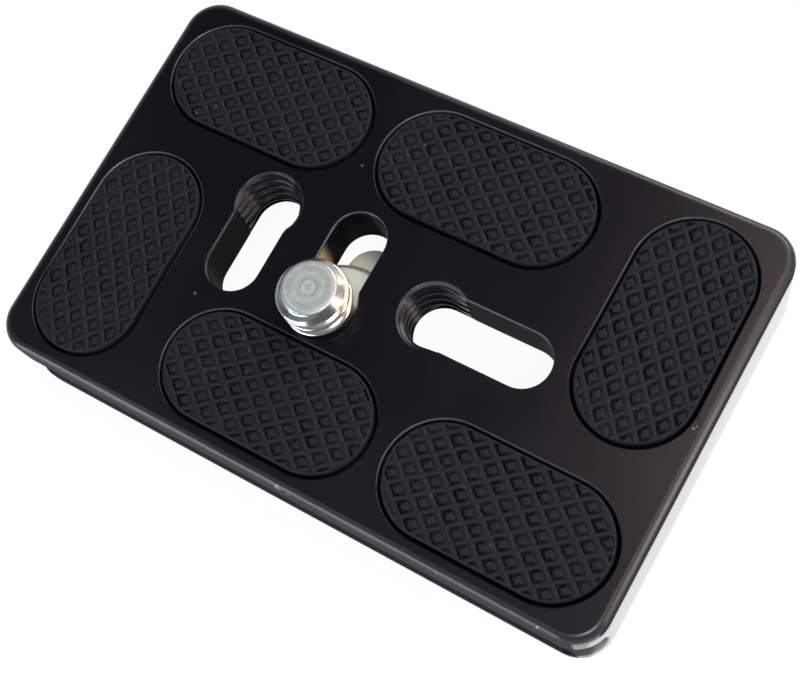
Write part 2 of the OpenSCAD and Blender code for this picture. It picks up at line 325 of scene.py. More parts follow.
# %% Stamped steel and nylon materials
# Painted light on the handle: a warm and a cool painted reflection, and painted shade for the tip.
WARM_REFLECTION, COOL_REFLECTION, TIP_SHADE = (0.95, 0.89, 0.74, 1), (0.86, 0.95, 0.93, 1), (0.30, 0.28, 0.24, 1)
STREAK_SCALE = (9000, 500, 3000)

stamped, start, place = material_start("stamped_steel")
streak_place = start.node("ShaderNodeMapping", {}, {"Vector": place, "Scale": STREAK_SCALE})
streaks = noise(start, streak_place, 1.0, 3.0)
patches = noise(start, place, 500.0, 2.0)
across, along, _ = axes_mm(place)
# A painted warm reflection on one side and a painted cool reflection on the other, then painted shade on the
# tip.
reflection_tints = mix_colours(start, across.smooth(-5.2, -2.6), WARM_REFLECTION, COOL_REFLECTION)
tip_shade = along.smooth(3.3, 5.0) * (0.45 + patches * 0.5)
painted_handle_tone = mix_colours(start, tip_shade, reflection_tints, TIP_SHADE)
bump = bump_from(start, streaks, 0.12, 0.01)
material_end(start, {"Base Color": painted_handle_tone, "Metallic": 0.25, "Roughness": 0.36 + streaks * 0.14,
                     "Normal": bump})

nylon, start, place = material_start("natural_nylon")
haze = noise(start, place, 800.0, 2.0)
nylon_tone = mix_colours(start, haze, (0.78, 0.86, 0.82, 1), (0.86, 0.92, 0.87, 1))
bump = bump_from(start, haze, 0.1, 0.01)
material_end(start, {"Base Color": nylon_tone, "Roughness": 0.35 + haze * 0.1, "Normal": bump})
print("stamped steel nodes:", len(stamped.node_tree.nodes), "nylon nodes:", len(nylon.node_tree.nodes))

# %% [markdown]
# ## From loops to solid meshes
# Most pieces here are stacks of closed outlines joined by quads, as a boat's hull is lofted over its ribs.
# That keeps every edge rounding under control, and rounded edges are what catches the light on small metal
# parts. Flat faces with holes, such as the plate's top, are filled by a constrained triangulation of the
# same loops, so that the sheet and the walls share their points and the solid stays closed.

# %% Loops and fills
class Shell:
    """Collects points in mm and faces, and turns them into an object.

    Marks are named values kept on the points, one for a whole loop or a list with one for each point. They
    become attributes of the mesh, and a point without a mark has 0.
    """

    def __init__(self):
        self.points, self.faces, self.marks = [], [], {}

    def loop(self, points, **marks):
        first = len(self.points)
        self.points += [tuple(p) for p in points]
        loop = list(range(first, len(self.points)))
        for name, value in marks.items():
            values = value if isinstance(value, list) else [value] * len(loop)
            self.marks.setdefault(name, {}).update(zip(loop, values))
        return loop

    def bridge(self, low, high):
        """Quads between two loops that run the same way: the outside is on the right of low going up."""
        for i in range(len(low)):
            j = (i + 1) % len(low)
            self.faces.append((low[i], low[j], high[j], high[i]))

    def tower(self, loops):
        for low, high in zip(loops, loops[1:]):
            self.bridge(low, high)

    def cap(self, loop, up):
        self.faces.append(tuple(loop) if up else tuple(reversed(loop)))

    def sheet(self, outer, holes, up):
        """A flat face between an outer loop and the holes in it."""
        rings = [outer] + holes
        index = [i for ring in rings for i in ring]
        flat = [Vector(self.points[i][:2]) for i in index]
        edges, first = [], 0
        for ring in rings:
            count = len(ring)
            edges += [(first + k, first + (k + 1) % count) for k in range(count)]
            first += count
        points, _, triangles, origin, _, _ = delaunay_2d_cdt(flat, edges, [], 0, 1e-7)
        shapes = [np.array([self.points[i][:2] for i in ring]) for ring in rings]
        for triangle in triangles:
            middle = sum((points[i] for i in triangle), Vector((0, 0))) / len(triangle)
            if inside(middle, shapes[0]) and not any(inside(middle, s) for s in shapes[1:]):
                face = [index[origin[i][0]] for i in triangle]
                self.faces.append(tuple(face if up else reversed(face)))

    def join(self, other):
        first = len(self.points)
        self.points += other.points
        self.faces += [tuple(i + first for i in face) for face in other.faces]
        for name, values in other.marks.items():
            self.marks.setdefault(name, {}).update({i + first: v for i, v in values.items()})

    def object(self, name, material, sharp_deg=35):
        mesh = bpy.data.meshes.new(name)
        mesh.from_pydata([(x * MM, y * MM, z * MM) for x, y, z in self.points], [], self.faces)
        for mark, values in self.marks.items():
            layer = mesh.attributes.new(mark, "FLOAT", "POINT")
            layer.data.foreach_set("value", [values.get(i, 0.0) for i in range(len(self.points))])
        mesh.materials.append(material)
        made = bpy.data.objects.new(name, mesh)
        scene.collection.objects.link(made)
        finish_shading(made, sharp_deg)
        return made


def finish_shading(made, sharp_deg):
    made.data.shade_smooth()
    made.data.set_sharp_from_angle(angle=math.radians(sharp_deg))


def inside(point, shape):
    x, y = point
    ax, ay = shape[:, 0], shape[:, 1]
    bx, by = np.roll(ax, -1), np.roll(ay, -1)
    crosses = (ay > y) != (by > y)
    with np.errstate(divide="ignore", invalid="ignore"):
        at = ax + (y - ay) / (by - ay) * (bx - ax)
    return bool(np.count_nonzero(crosses & (x < at)) % 2)


def fillet_path(corners, radii, steps=5):
    """The corner points of a path with each inner corner rounded."""
    path = [tuple(corners[0])]
    for before, corner, after, r in zip(corners, corners[1:], corners[2:], radii):
        b, c, a = (np.array(p, float) for p in (before, corner, after))
        u, w = (b - c) / np.linalg.norm(b - c), (a - c) / np.linalg.norm(a - c)
        half = math.acos(float(np.clip(u @ w, -1, 1))) / 2
        middle = c + (u + w) / np.linalg.norm(u + w) * r / math.sin(half)
        start_leg, end_leg = c + u * r / math.tan(half) - middle, c + w * r / math.tan(half) - middle
        sweep = math.acos(float(np.clip(start_leg @ end_leg / r ** 2, -1, 1)))
        for k in range(steps + 1):
            t = k / steps
            arm = (math.sin((1 - t) * sweep) * start_leg + math.sin(t * sweep) * end_leg) / math.sin(sweep)
            path.append(tuple(middle + arm))
    return path + [tuple(corners[-1])]


def install(made, body, slot, *nodes):
    """Puts a finished piece on its CAD body, in place of its CAD nodes."""
    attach(made, body)
    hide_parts(*nodes)
    made.data.calc_loop_triangles()
    print(made.name, "triangles:", len(made.data.loop_triangles), "rides on", body)


def weighted(made):
    """Lets large faces decide the shading, so that flat faces look flat beside their rounded edges."""
    modifier = made.modifiers.new("even_shading", "WEIGHTED_NORMAL")
    modifier.keep_sharp = True
    modifier.weight = 50


def flat_normals(made, faces):
    """Keeps flat faces flat in shading up to their rounded edges; faces are (height in mm, up or down)."""
    points = np.empty(len(made.data.vertices) * 3)
    made.data.vertices.foreach_get("co", points)
    heights = points[2::3] / MM
    normals = np.zeros((len(heights), 3))
    for height, facing in faces:
        normals[np.abs(heights - height) < 1e-4, 2] = facing
    made.data.normals_split_custom_set_from_vertices(normals.tolist())


print("a Shell can:", [name for name in vars(Shell) if not name.startswith("__")])

# %% [markdown]
# ## A thread from Geometry Nodes
# The slots' round ends are tapped, and the screw is threaded, all with 20 turns to the inch. A thread
# follows one rule: the radius at any point depends on its height and its angle round the axis. So one
# Geometry Nodes tree cuts both kinds. It moves the marked points of a plain wall out to the thread's radius
# in a tapped hole, or in to it on a bolt. The sizes are named inputs, so each thread has its own values.
# The alternative, a spiral swept along a curve, would have to be joined to the walls by a boolean.

# %% Thread tree
def new_tree(name, inputs):
    tree = bpy.data.node_groups.new(name, "GeometryNodeTree")
    tree.interface.new_socket("Geometry", in_out="INPUT", socket_type="NodeSocketGeometry")
    for label, kind, value in inputs:
        item = tree.interface.new_socket(label, in_out="INPUT", socket_type=kind)
        if value is not None:
            item.default_value = value
    tree.interface.new_socket("Geometry", in_out="OUTPUT", socket_type="NodeSocketGeometry")
    group = tree.nodes.new("NodeGroupInput")
    return tree, Wire(tree), {s.name: Wire(tree, s) for s in group.outputs if s.name}


def end_tree(start, geometry, material):
    real = start.node("GeometryNodeRealizeInstances", {}, {"Geometry": geometry})
    dressed = start.node("GeometryNodeSetMaterial", {}, {"Geometry": real, "Material": material})
    start.node("NodeGroupOutput", {}, {"Geometry": dressed})


def apply_tree(made, tree, values):
    """Runs a tree on an object with these input values, and keeps the result as a plain mesh."""
    modifier = made.modifiers.new(tree.name, "NODES")
    modifier.node_group = tree
    for item in tree.interface.items_tree:
        if item.in_out == "INPUT" and item.name in values:
            modifier[item.identifier] = values[item.name]
    depsgraph = bpy.context.evaluated_depsgraph_get()
    result = bpy.data.meshes.new_from_object(made.evaluated_get(depsgraph), depsgraph=depsgraph)
    made.modifiers.remove(modifier)
    made.data = result


def over_half(start, attribute_name):
    """Selects the points on which this attribute is more than 0.5."""
    value = start.node("GeometryNodeInputNamedAttribute", {"data_type": "FLOAT"}, {"Name": attribute_name})
    settings = {"data_type": "FLOAT", "operation": "GREATER_THAN"}
    return start.node("FunctionNodeCompare", settings, {0: value, 1: 0.5})


FLOAT, BOOL, PAINT = "NodeSocketFloat", "NodeSocketBool", "NodeSocketMaterial"
PITCH, THREAD_R, CREST_R = 1.27, 3.175, 2.6
thread_tree, start, given = new_tree("thread", [
    ("Axis X", FLOAT, 0.0), ("Axis Y", FLOAT, 0.0), ("Pitch", FLOAT, PITCH * MM),
    ("Inner Radius", FLOAT, CREST_R * MM), ("Outer Radius", FLOAT, THREAD_R * MM),
    ("Start Angle", FLOAT, 0.0), ("Is Hole", BOOL, True), ("Material", PAINT, None)])
x, y, z = start.node("GeometryNodeInputPosition", {}, {}).split()
dx, dy = x - given["Axis X"], y - given["Axis Y"]
reach = start.math("SQRT", dx * dx + dy * dy)
angle = start.math("ARCTAN2", dy, dx) + given["Start Angle"]
phase = start.math("FRACT", z / given["Pitch"] - angle / (2 * math.pi) + 10.0)
tooth = (1 - start.math("ABSOLUTE", phase * 2.0 - 1)).smooth(0.06, 0.94)
thread_radius = given["Inner Radius"] + (given["Outer Radius"] - given["Inner Radius"]) * tooth
widened, narrowed = most(reach, thread_radius), start.math("MINIMUM", reach, thread_radius)
wanted = start.node("GeometryNodeSwitch", {"input_type": "FLOAT"}, {
    "Switch": given["Is Hole"], "False": narrowed, "True": widened})
grow = wanted / reach
moved = start.node("ShaderNodeCombineXYZ", {}, {
    0: given["Axis X"] + dx * grow, 1: given["Axis Y"] + dy * grow, 2: z})
cut = start.node("GeometryNodeSetPosition", {}, {
    "Geometry": given["Geometry"], "Selection": over_half(start, "thread_wall"), "Position": moved})
end_tree(start, cut, given["Material"])
print("thread tree inputs:", [i.name for i in thread_tree.interface.items_tree if i.in_out == "INPUT"])

# %% [markdown]
# ## The plate
# The real plate is milled from a bar. A cutter runs a 45 degree groove along each long side, which makes
# the dovetail, and the ends stay square. Here the plan outline, a rectangle with round corners, is stacked
# up through a side profile with small roundings, and its long sides are pulled in to the groove's depth.

# %% Plate outline
PLATE_L, PLATE_W, PLATE_T = 60.4, 38.0, 10.0
CORNER_R, TOP_ROUND, BOTTOM_ROUND = 3.2, 0.8, 0.4
HALF_W, GROOVE_FLOOR, GROOVE_ROUND, FOOT_ROUND, INSIDE = PLATE_W / 2, 16.4, 0.3, 0.22, 15.0
side_profile = fillet_path([  # (half width, height) from the foot up, past the groove, to the top
    (INSIDE, 0), (HALF_W, 0), (HALF_W, 1.8), (GROOVE_FLOOR, 4.4),
    (GROOVE_FLOOR, 5.2), (HALF_W, 6.4), (HALF_W, PLATE_T), (INSIDE, PLATE_T)],
    [BOTTOM_ROUND, FOOT_ROUND, GROOVE_ROUND, GROOVE_ROUND, GROOVE_ROUND, TOP_ROUND], steps=8)[1:-1]


def round_rectangle(length, width, r, steps=14):
    points = []
    for cx, cy, first in ((1, 1, 0), (-1, 1, 90), (-1, -1, 180), (1, -1, 270)):
        for k in range(steps + 1):
            a = math.radians(first + 90 * k / steps)
            points.append((cx * (length / 2 - r) + r * math.cos(a),
                           cy * (width / 2 - r) + r * math.sin(a)))
    return points


def plate_loop(half_width, z):
    """The plan outline at one height: smaller where the edges are rounded, pinched where the groove is."""
    on_round = z < BOTTOM_ROUND or z > PLATE_T - TOP_ROUND - 1e-6
    inset = PLATE_W / 2 - half_width if on_round else 0.0
    outline = round_rectangle(PLATE_L - 2 * inset, PLATE_W - 2 * inset, CORNER_R - inset)
    return [(x, max(-half_width, min(half_width, y)), z) for x, y in outline]


plate = Shell()
outer_loops = [plate.loop(plate_loop(half_width, z), rubbed=float(PLATE_T - 0.5 < z < PLATE_T - 0.01))
               for half_width, z in side_profile]
plate.tower(outer_loops)
print("plate loops:", len(outer_loops), "points each:", len(outer_loops[0]))

# %% [markdown]
# Each pad sits in a recess with round ends, a quarter of a millimetre wider than the pad all round, and a
# bluish highlight is painted on its bevelled upper edge on the back side, where that edge faces the front.
# The walls go down from the top face, so their loops are stacked from the floor of the recess up, turned
# inside out.

# %% Recesses for the pads
PADS = {  # node: centre x, centre y, turn in degrees, tread phase along and across
    "pad_back_left": (-18.3, 12.175, 0, 0.46, 0.70),
    "pad_back_middle": (4.0, 12.175, 0, 0.20, 0.30),
    "pad_right": (23.375, 7.1, 90, 0.0, 0.5),
    "pad_front_right": (18.3, -12.175, 0, 0.55, 0.75),
    "pad_front_middle": (-4.0, -12.175, 0, -0.1, 1.0),
    "pad_left": (-23.375, -7.1, 90, 0.4, 0.2),
}
PAD_L, PAD_W, PAD_FLOOR, PAD_TOP, PAD_GAP = 20.1, 10.05, 9.0, 10.3, 0.24


def stadium(cx, cy, length, width, turn_deg=0.0, grow=0.0, steps=28):
    """An outline with round ends, turned about its middle and made wider all round."""
    r, half = width / 2 + grow, (length - width) / 2
    a0 = math.radians(turn_deg)
    points = []
    for side, first in ((1, -90), (-1, 90)):
        for k in range(steps + 1):
            a = math.radians(first + 180 * k / steps)
            u, v = side * half + r * math.cos(a), r * math.sin(a)
            points.append((cx + u * math.cos(a0) - v * math.sin(a0), cy + u * math.sin(a0) + v * math.cos(a0)))
    return points


# (wider by, height, painted highlight) from the floor up, with a bevel over the last 0.15 mm
recess_steps = [(0.0, PAD_FLOOR, 0), (0.0, PLATE_T - 0.15, 0), (0.15, PLATE_T - 0.012, 1), (0.185, PLATE_T, 0)]
HIGHLIGHT_TURN = 0.25  # the side with the strongest painted highlight lies this far from +Y towards -X, in radians
top_holes = []
for cx, cy, turned_by, _, _ in PADS.values():
    loops = []
    for grow, z, on_edge in recess_steps:
        outline = stadium(cx, cy, PAD_L, PAD_W, turned_by, PAD_GAP + grow)
        facing = [max(0.0, math.sin(math.atan2(y - cy, x - cx) - HIGHLIGHT_TURN)) for x, y in outline]
        worn = [on_edge * f ** 0.5 for f in facing]
        loops.append(plate.loop([(x, y, z) for x, y in outline], worn=worn))
    plate.tower([list(reversed(loop)) for loop in loops])
    plate.cap(loops[0], up=True)
    top_holes.append(loops[-1])
print("recesses:", len(top_holes))

# %% [markdown]
# The three slots run through the web of the plate into the pocket underneath. Each has one tapped round
# end with a countersink above it. Its wall starts as a plain dense grid, with the countersink in it, and is
# marked so that the thread tree finds it. The grid is finest at the tapped end, where the thread has to be
# smooth. The thread's crests are drawn at a radius of 2.6 mm, but at 2.95 mm in the middle slot, where the
# screw's neck needs the room.

# %% Slots and the pocket
SLOTS = [  # tap centre, direction to the other end, distance to the other end's centre, crest radius
    ((-12.875, 2.825), (0, -1), 6.2, CREST_R),
    ((-3.8, -2.825), (0, 1), 6.2, 2.95),
    ((5.675, 0.0), (1, 0), 8.5, CREST_R)]
SLOT_R, WEB_Z, SLOT_BREAK, WEB_BREAK = 2.55, 5.0, 0.12, 0.06
SINK_R, SINK_SLOPE, TAP_REACH = 3.24, 1.6, 1.6
POCKET_L, POCKET_W, POCKET_R, POCKET_ROUND = 44.0, 25.4, 2.0, 0.35


def slot_outline(tap, toward, far):
    """A capsule from one side of the tap round the tapped end to the other and back.

    Gives each point in the plate, and how far along the slot it lies from the tap.
    """
    ahead = np.array(toward, float)
    left = np.array((-ahead[1], ahead[0]))
    sides = [*np.linspace(0, 2.0, 13)[1:], *np.linspace(2.0, far, 5)[1:-1]]
    local = [(-math.sin(a) * SLOT_R, math.cos(a) * SLOT_R) for a in np.linspace(0, math.pi, 41)]
    local += [(s, -SLOT_R) for s in sides]
    local += [(far + math.cos(a) * SLOT_R, math.sin(a) * SLOT_R)
              for a in np.linspace(-math.pi / 2, math.pi / 2, 25)]
    local += [(s, SLOT_R) for s in reversed(sides)]
    return [np.array(tap) + ahead * u + left * v for u, v in local], [u for u, _ in local]


def eased(distance, r):
    """How far a rounded edge stands back at this distance below or above its face."""
    return r - math.sqrt(max(0.0, r * r - (r - distance) ** 2)) if distance < r else 0.0


def slot_ring(tap, toward, far, crest, z):
    """The slot's outline at one height, with its broken edges and the countersink round the tap."""
    tap, toward = np.array(tap), np.array(toward)
    back = max(eased(PLATE_T - z, SLOT_BREAK), eased(z - WEB_Z, WEB_BREAK))
    sink = max(SINK_R - (PLATE_T - z) * SINK_SLOPE, crest)
    points = []
    for point, u in zip(*slot_outline(tap, toward, far)):
        centre = tap + toward * min(max(u, 0), far)
        point = centre + (point - centre) * (SLOT_R + back) / SLOT_R
        away = float(np.linalg.norm(point - tap))
        if away < sink and u <= far:
            point = tap + (point - tap) * sink / away
        points.append((*point, z))
    return points


ceiling_holes = []
low_row, high_row = WEB_Z + 0.35, PLATE_T - 0.35
rows = [*np.linspace(WEB_Z, low_row, 6), *np.linspace(low_row, high_row, 64)[1:],
        *np.linspace(high_row, PLATE_T, 7)[1:]]
for tap, toward, far, crest in SLOTS:
    outline, along_slot = slot_outline(tap, toward, far)
    tapped = [float(u < TAP_REACH) for u in along_slot]
    loops = []
    for z in rows:
        on_edge = PLATE_T - 0.2 < z < PLATE_T - 0.01  # a painted highlight on the edge, strongest towards the back
        worn = [on_edge * max(0.0, (y - tap[1]) / 6 + 0.3) * 0.5 for _, y in outline]
        inner_row = float(z not in (rows[0], rows[-1]))
        points = slot_ring(tap, toward, far, crest, z)
        loops.append(plate.loop(points, thread_wall=inner_row, tapped=tapped, worn=worn))
    plate.tower([list(reversed(loop)) for loop in loops])
    top_holes.append(loops[-1])
    ceiling_holes.append(loops[0])

# (narrower by, height) from the pocket's ceiling down to its rounded mouth
pocket_steps = [(0.5, WEB_Z), (0.25, WEB_Z - 0.03), (0.07, WEB_Z - 0.2), (0.0, WEB_Z - 0.5)]
pocket_steps += [(-POCKET_ROUND * (1 - math.cos(a)), POCKET_ROUND * (1 - math.sin(a)))
                 for a in np.radians((0, 30, 60, 90))]
pocket_loops = []
for inset, z in pocket_steps:
    outline = round_rectangle(POCKET_L - 2 * inset, POCKET_W - 2 * inset, POCKET_R - inset * 0.5, 8)
    pocket_loops.append(plate.loop([(x, y, z) for x, y in outline]))
plate.tower(pocket_loops)
plate.sheet(outer_loops[-1], top_holes, up=True)
plate.sheet(pocket_loops[0], ceiling_holes, up=False)
plate.sheet(outer_loops[0], [pocket_loops[-1]], up=False)
plate_piece = plate.object("plate_milled", anodised)
for number, (tap, _, _, crest) in enumerate(SLOTS):
    apply_tree(plate_piece, thread_tree, {
        "Axis X": tap[0] * MM, "Axis Y": tap[1] * MM, "Inner Radius": crest * MM,
        "Start Angle": 1.3 * number, "Is Hole": True, "Material": anodised})
finish_shading(plate_piece, 32)
flat_normals(plate_piece, [(PLATE_T, 1), (WEB_Z, -1), (0.0, -1)])
install(plate_piece, "plate", "black_metal", "plate_body")

# %% [markdown]
# ## The rubber pads
# The tread is a pattern of rhombic cells, 2.42 mm along the pad and 1.96 mm across it, between thin
# diagonal ridges. Each cell holds a small blunt stud, and the groove round the stud is C-shaped: it is
# shallow on its open side, which faces the same way on every pad of the plate, so the tree is told where.
# The cells are not quite alike, which a noise takes care of. A texture could draw all this, but it would
# have no depth, so the tree works on a plain dense sheet: it finds where each point lies in its cell, and
# sets its height from that. The tread fades into a narrow rim before the edge of the sheet rolls over.

# %% Tread tree
CELL_ALONG, CELL_ACROSS = 2.42, 1.96
RIDGE_FALL, STUD_FOOT, STUD_TOP, STUD_HEIGHT = 0.13, 0.31, 0.52, 0.9
tread_tree, start, given = new_tree("tread", [
    ("Length", FLOAT, PAD_L * MM), ("Width", FLOAT, PAD_W * MM), ("Top", FLOAT, PAD_TOP * MM),
    ("Pitch Along", FLOAT, CELL_ALONG * MM), ("Pitch Across", FLOAT, CELL_ACROSS * MM),
    ("Phase Along", FLOAT, 0.0), ("Phase Across", FLOAT, 0.0),
    ("Ridge Width", FLOAT, 0.30 * MM), ("Depth", FLOAT, 0.3 * MM),
    ("Open U", FLOAT, 0.7), ("Open V", FLOAT, 0.7),
    ("Rim", FLOAT, 0.26 * MM), ("Edge Round", FLOAT, 0.2 * MM), ("Material", PAINT, None)])
spot_now = start.node("GeometryNodeInputPosition", {}, {})
u, v, _ = spot_now.split()
along = (u - given["Phase Along"]) / given["Pitch Along"]
across = (v - given["Phase Across"]) / given["Pitch Across"]


def from_cell_middle(value):
    return value - start.math("ROUND", value)


ridge_spacing = CELL_ALONG * CELL_ACROSS / math.hypot(CELL_ALONG, CELL_ACROSS) * MM
off_p, off_q = from_cell_middle(along + across), from_cell_middle(along - across)
nearest = most(start.math("ABSOLUTE", off_p), start.math("ABSOLUTE", off_q))
to_ridge = (0.5 - nearest) * ridge_spacing
to_open_side = (off_p + off_q) * given["Open U"] + (off_p - off_q) * given["Open V"]
open_side = to_open_side.smooth(0.0, 0.55, 1.0, 0.25)
unlike = noise(start, spot_now, 420.0).smooth(0.35, 0.65, 0.7, 1.0)
ridge_edge = given["Ridge Width"] * 0.5
fall = to_ridge.smooth(ridge_edge, ridge_edge + RIDGE_FALL * MM)
stud = to_ridge.smooth(STUD_FOOT * MM, STUD_TOP * MM, 0.0, STUD_HEIGHT)
depth_here = most(fall - stud, 0.0) * open_side * unlike
half_straight = (given["Length"] - given["Width"]) * 0.5
past_end = most(start.math("ABSOLUTE", u) - half_straight, 0.0)
to_edge = given["Width"] * 0.5 - start.math("SQRT", past_end * past_end + v * v)
on_tread = to_edge.smooth(given["Rim"] * 0.6, given["Rim"])
roll_r = given["Edge Round"]
roll = most(roll_r - to_edge, 0.0)
under = roll_r - start.math("SQRT", most(roll_r * roll_r - roll * roll, 0.0))
height = given["Top"] - depth_here * on_tread * given["Depth"] - under
lifted = start.node("ShaderNodeCombineXYZ", {}, {0: u, 1: v, 2: height})
is_top = over_half(start, "sheet")
kept = start.node("GeometryNodeStoreNamedAttribute", {"data_type": "FLOAT", "domain": "POINT"}, {
    "Geometry": given["Geometry"], "Selection": is_top, "Name": "tread", "Value": 1 - depth_here * on_tread})
raised = start.node("GeometryNodeSetPosition", {}, {"Geometry": kept, "Selection": is_top, "Position": lifted})
end_tree(start, raised, given["Material"])
print("tread tree nodes:", len(tread_tree.nodes))

# %% [markdown]
# The plain sheet has its rows packed towards the long edges, so that the round ends are smooth. Each row
# is as long as the outline is at that height. A skirt goes down to the recess floor and closes the pad.

# %% Pads
OPEN_TOWARD = (0.86, 0.5)  # the open side of every groove, as a direction in the plate


def pad_sheet(columns=200, rows_across=104):
    shell = Shell()
    r, half = PAD_W / 2, (PAD_L - PAD_W) / 2
    grid = []
    for j in range(rows_across + 1):
        t = 2 * j / rows_across - 1
        a = math.asin(0.5 * math.sin(t * math.pi / 2) + 0.5 * t)
        end = half + r * math.cos(a)
        row = [(end * (2 * i / columns - 1), r * math.sin(a), PLATE_T) for i in range(columns + 1)]
        grid.append(shell.loop(row, sheet=1.0))
    for low, high in zip(grid, grid[1:]):
        for i in range(columns):
            shell.faces.append((low[i], low[i + 1], high[i + 1], high[i]))
    rim = grid[0] + [row[-1] for row in grid[1:-1]] + grid[-1][::-1] + [row[0] for row in grid[-2:0:-1]]
    foot = shell.loop([(*shell.points[i][:2], PAD_FLOOR) for i in rim])
    shell.bridge(foot, rim)
    shell.cap(foot, up=False)
    return shell


for node, (cx, cy, turned_by, phase_along, phase_across) in PADS.items():
    pad = pad_sheet().object(node + "_tread", rubber)
    turn = Matrix.Rotation(math.radians(turned_by), 4, "Z")
    open_u, open_v, _ = turn.inverted() @ Vector((*OPEN_TOWARD, 0))
    apply_tree(pad, tread_tree, {
        "Phase Along": phase_along * MM, "Phase Across": phase_across * MM,
        "Open U": open_u, "Open V": open_v, "Material": rubber})
    pad.data.transform(Matrix.Translation((cx * MM, cy * MM, 0)) @ turn)
    finish_shading(pad, 60)
    install(pad, "plate", "pad_rubber", node)

# %% [markdown]
# ## The captive screw
# A lathe piece is a profile spun about an axis. The profile here has the head, the neck that slides in the
# slot, and the shank at the thread's outer size with a bevelled end, and the thread tree cuts the groove
# into it. Two ears under the head carry the handle's pin.

# %% Screw
PIN_Z, HEAD_Z, HEAD_TOP, HEAD_R = 2.0, 3.3, 4.5, 6.0
NECK_R, THREAD_START, BEVEL_START, SCREW_TOP = 2.4, 10.1, 13.2, 14.0
EAR_R, EAR_FROM, EAR_TO = 1.3, 2.7, 4.1


def circle(axis, r, z, steps):
    turns = [2 * math.pi * k / steps for k in range(steps)]
    return [(axis[0] + r * math.cos(a), axis[1] + r * math.sin(a), z) for a in turns]


def lathe(shell, profile, steps, axis=SCREW_AXIS):
    """Spins (radius, height, marked) points; the first and last loops are closed with flat faces."""
    loops = [shell.loop(circle(axis, r, z, steps), thread_wall=float(marked)) for r, z, marked in profile]
    shell.tower(loops)
    shell.cap(loops[0], up=False)
    shell.cap(loops[-1], up=True)


screw = Shell()
head_part = fillet_path(
    [(0.4, HEAD_Z), (HEAD_R, HEAD_Z), (HEAD_R, HEAD_TOP), (NECK_R, HEAD_TOP), (NECK_R, 9.0)],
    [0.25, 0.25, 0.12], steps=4)[:-1]
profile = [(r, z, False) for r, z in head_part] + [(NECK_R, THREAD_START - 0.1, False)]
profile += [(NECK_R + min(THREAD_R - NECK_R, (z - THREAD_START) * 2.2), z, True)
            for z in np.linspace(THREAD_START, BEVEL_START, 72)]
profile += [(THREAD_R - k * 0.065, BEVEL_START + k * 0.06, True) for k in range(1, 12)]
profile += [(r, SCREW_TOP - down, False)
            for r, down in ((2.41, 0.08), (2.35, 0.035), (2.25, 0.01), (2.12, 0.0))]
# the end face is slightly hollow
profile += [(r, SCREW_TOP - 0.03 * (1 - r / 2.1), False) for r in (1.8, 1.4, 1.0, 0.5, 0.15)]
lathe(screw, profile, 96)


def ear_shell(x_low, x_high):
    """A lug that hangs from the head, with a round lower end, its edges eased."""
    side = [(EAR_R, HEAD_Z + 0.1)]
    side += [(EAR_R * math.cos(a), PIN_Z + EAR_R * math.sin(a)) for a in np.linspace(0, -math.pi, 21)]
    side += [(-EAR_R, HEAD_Z + 0.1)]
    shell = Shell()
    loops = []
    for x, inset in ((x_low, 0.15), (x_low + 0.05, 0.05), (x_low + 0.15, 0.0),
                     (x_high - 0.15, 0.0), (x_high - 0.05, 0.05), (x_high, 0.15)):
        k = (EAR_R - inset) / EAR_R
        loops.append(shell.loop([
            (SCREW_AXIS[0] + x, SCREW_AXIS[1] + a * k, PIN_Z + (b - PIN_Z) * k if b < HEAD_Z else b)
            for a, b in side]))
    shell.tower(loops)
    shell.cap(loops[0], up=False)
    shell.cap(loops[-1], up=True)
    return shell


for low, high in ((EAR_FROM, EAR_TO), (-EAR_TO, -EAR_FROM)):
    screw.join(ear_shell(low, high))
screw_piece = screw.object("camera_screw_turned", turned, 40)
apply_tree(screw_piece, thread_tree, {
    "Axis X": SCREW_AXIS[0] * MM, "Axis Y": SCREW_AXIS[1] * MM, "Inner Radius": (NECK_R + 0.02) * MM,
    "Outer Radius": THREAD_R * MM, "Start Angle": 0.6, "Is Hole": False, "Material": turned})
finish_shading(screw_piece, 40)
weighted(screw_piece)
install(screw_piece, "screw", "bright_steel", "camera_screw")

# %% [markdown]
# The washer, the pin and the handle are small, but they show through the middle slot and from below. The
# washer and the handle's eye are closed profiles spun into rings. The handle is a flat key with a round end,
# so that it can be turned by a finger. It is a stack of its own outline, pulled in at the top and bottom.

# %% Washer, pin and handle
def ring_shell(axis, profile_points, steps=72):
    """Spins a closed profile of (radius, height) points into a ring."""
    shell = Shell()
    loops = [shell.loop(circle(axis, r, z, steps)) for r, z in profile_points]
    shell.tower(loops + [loops[0]])
    return shell


washer_profile = [(2.45, 4.6), (2.5, 4.55), (5.42, 4.55), (5.5, 4.62),
                  (5.5, 4.88), (5.42, 4.95), (2.5, 4.95), (2.45, 4.9)]
washer = ring_shell(SCREW_AXIS, washer_profile).object("friction_washer_nylon", nylon, 50)
install(washer, "washer", "washer_nylon", "friction_washer")


def along_x(points):
    """Turns a piece spun about its own Z so that its axis lies along X at the pin's place."""
    return [(SCREW_AXIS[0] + z, SCREW_AXIS[1] + x, PIN_Z + y) for x, y, z in points]


pin = Shell()
half_pin = [(0.6, 3.95), (0.5, 4.07), (0.3, EAR_TO)]
pin_profile = [(r, -z, False) for r, z in reversed(half_pin)] + [(r, z, False) for r, z in half_pin]
lathe(pin, pin_profile, 32, axis=(0, 0))
pin.points = along_x(pin.points)
pin_piece = pin.object("handle_pin_bright", turned, 50)
install(pin_piece, "screw", "bright_steel", "handle_pin")

